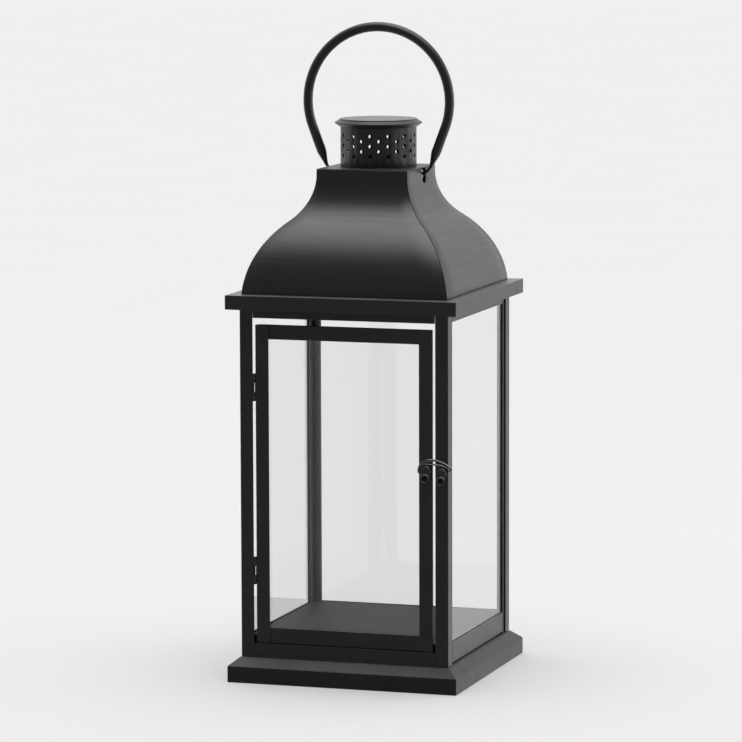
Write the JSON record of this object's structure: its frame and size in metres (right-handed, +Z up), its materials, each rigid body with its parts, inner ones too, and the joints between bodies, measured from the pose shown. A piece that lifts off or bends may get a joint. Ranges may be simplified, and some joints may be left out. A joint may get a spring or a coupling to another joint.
{
  "type": "candle lantern",
  "caption": "Square sheet-steel candle lantern with glass panes, hinged glass door with wire latch, ogee roof, pierced chimney and swinging bail handle.",
  "frame": {"origin": "centre of the base's underside, where the lantern stands", "axes": "+Z up; the door faces -Y; +X is to the right seen from the door side"},
  "size_m": [0.25, 0.25, 0.6849],
  "materials": {
    "satin_black_coat": "satin black powder coat",
    "roof_plate_grey": "dark grey satin, lightly streaked",
    "glossy_black_wire": "glossy black",
    "clear_glass": "clear polished float glass"
  },
  "bodies": {
    "lantern": {"base_plinth": "satin_black_coat", "floor_plate": "satin_black_coat", "post_front_left": "satin_black_coat", "post_front_right": "satin_black_coat", "post_rear_left": "satin_black_coat", "post_rear_right": "satin_black_coat", "bottom_rail_front": "satin_black_coat", "bottom_rail_left": "satin_black_coat", "bottom_rail_rear": "satin_black_coat", "bottom_rail_right": "satin_black_coat", "top_rail_front": "satin_black_coat", "top_rail_left": "satin_black_coat", "top_rail_rear": "satin_black_coat", "top_rail_right": "satin_black_coat", "glass_left": "clear_glass", "glass_rear": "clear_glass", "glass_right": "clear_glass", "glazing_channel_left_front": "satin_black_coat", "glazing_channel_left_rear": "satin_black_coat", "glazing_channel_rear_left": "satin_black_coat", "glazing_channel_rear_right": "satin_black_coat", "glazing_channel_right_front": "satin_black_coat", "glazing_channel_right_rear": "satin_black_coat", "cap_plate": "satin_black_coat", "roof_panel_front": "satin_black_coat", "roof_panel_left": "satin_black_coat", "roof_panel_rear": "satin_black_coat", "roof_panel_right": "satin_black_coat", "roof_top_plate": "roof_plate_grey", "chimney_tube": "satin_black_coat", "chimney_lid": "satin_black_coat", "hinge_lower_post_leaf": "satin_black_coat", "hinge_upper_post_leaf": "satin_black_coat", "hinge_lower_pin_low": "glossy_black_wire", "hinge_lower_pin_high": "glossy_black_wire", "hinge_upper_pin_low": "glossy_black_wire", "hinge_upper_pin_high": "glossy_black_wire", "post_peg": "satin_black_coat"},
    "door": {"door_stile_left": "satin_black_coat", "door_stile_right": "satin_black_coat", "door_rail_top": "satin_black_coat", "door_rail_bottom": "satin_black_coat", "door_glass": "clear_glass", "hinge_lower_door_leaf": "satin_black_coat", "hinge_upper_door_leaf": "satin_black_coat", "door_peg": "satin_black_coat"},
    "latch": {"latch_link": "glossy_black_wire"},
    "handle": {"handle": "satin_black_coat"}
  },
  "joints": [
    {"name": "door_hinge", "type": "hinge", "parent": "lantern", "child": "door", "pos_m": [-0.0975, -0.1134, 0.2143], "axis": [0, 0, 1], "range_deg": [-120, 0]},
    {"name": "latch_pivot", "type": "hinge", "parent": "door", "child": "latch", "pos_m": [0.09, -0.11435, 0.2313], "axis": [0, -1, 0], "range_deg": [0, 75]},
    {"name": "handle_swing", "type": "hinge", "parent": "lantern", "child": "handle", "pos_m": [0, 0.0085, 0.527], "axis": [1, 0, 0], "range_deg": [-88, 88]}
  ]
}
